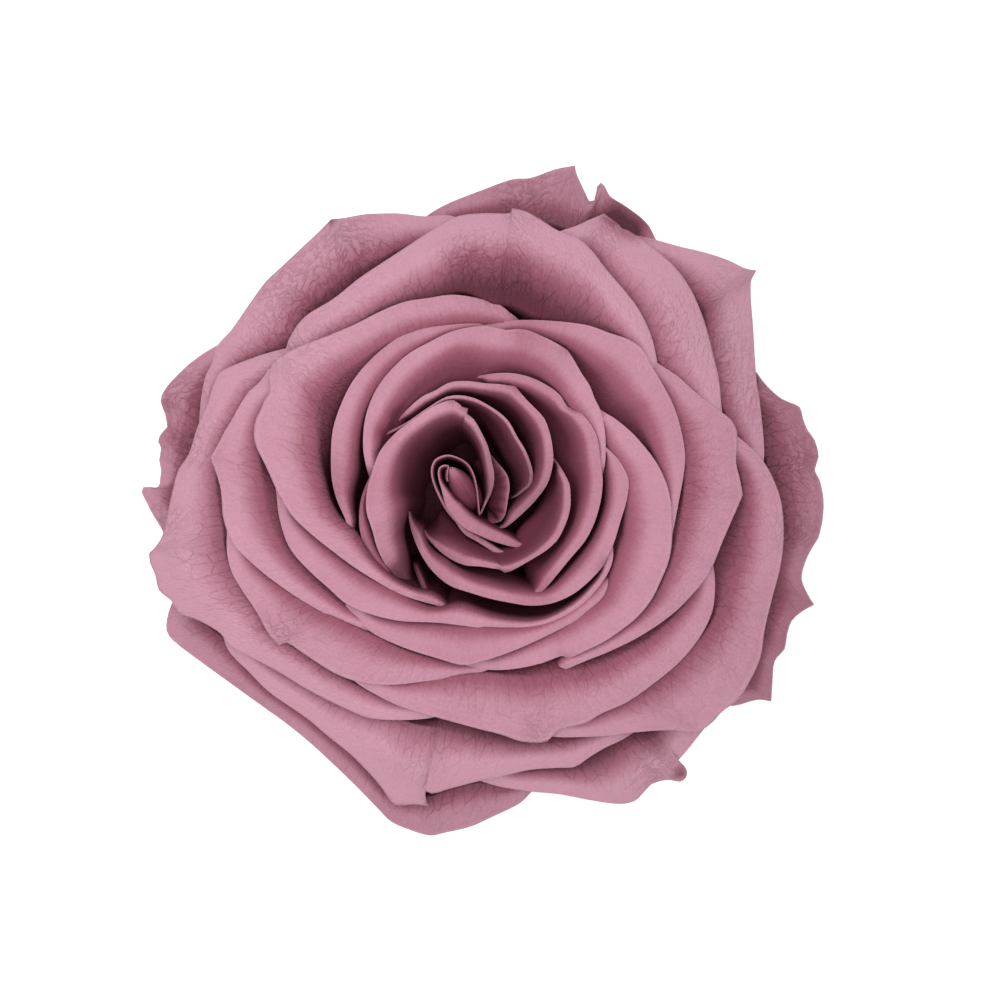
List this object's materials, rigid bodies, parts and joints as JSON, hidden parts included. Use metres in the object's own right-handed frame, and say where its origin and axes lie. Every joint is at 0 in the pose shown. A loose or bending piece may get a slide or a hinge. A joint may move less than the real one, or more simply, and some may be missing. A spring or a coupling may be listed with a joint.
{
  "type": "preserved rose",
  "caption": "Preserved rose head in dusty mauve pink, full and opened, with ruffled petals in overlapping rings on a green hip with folded-back sepals.",
  "frame": {"origin": "centre of the flat cut end of the stem's stub, on the surface that the head stands on", "axes": "+Z up through the middle of the bloom; +X to the right and +Y upwards in the picture, which looks straight down"},
  "size_m": [0.0679, 0.0668, 0.0478],
  "materials": {
    "petal_rose": "matt and velvety, dusty mauve pink",
    "calyx_green": "matt, dry olive green"
  },
  "bodies": {
    "root": {"bloom": "petal_rose", "calyx": "calyx_green"}
  },
  "joints": []
}
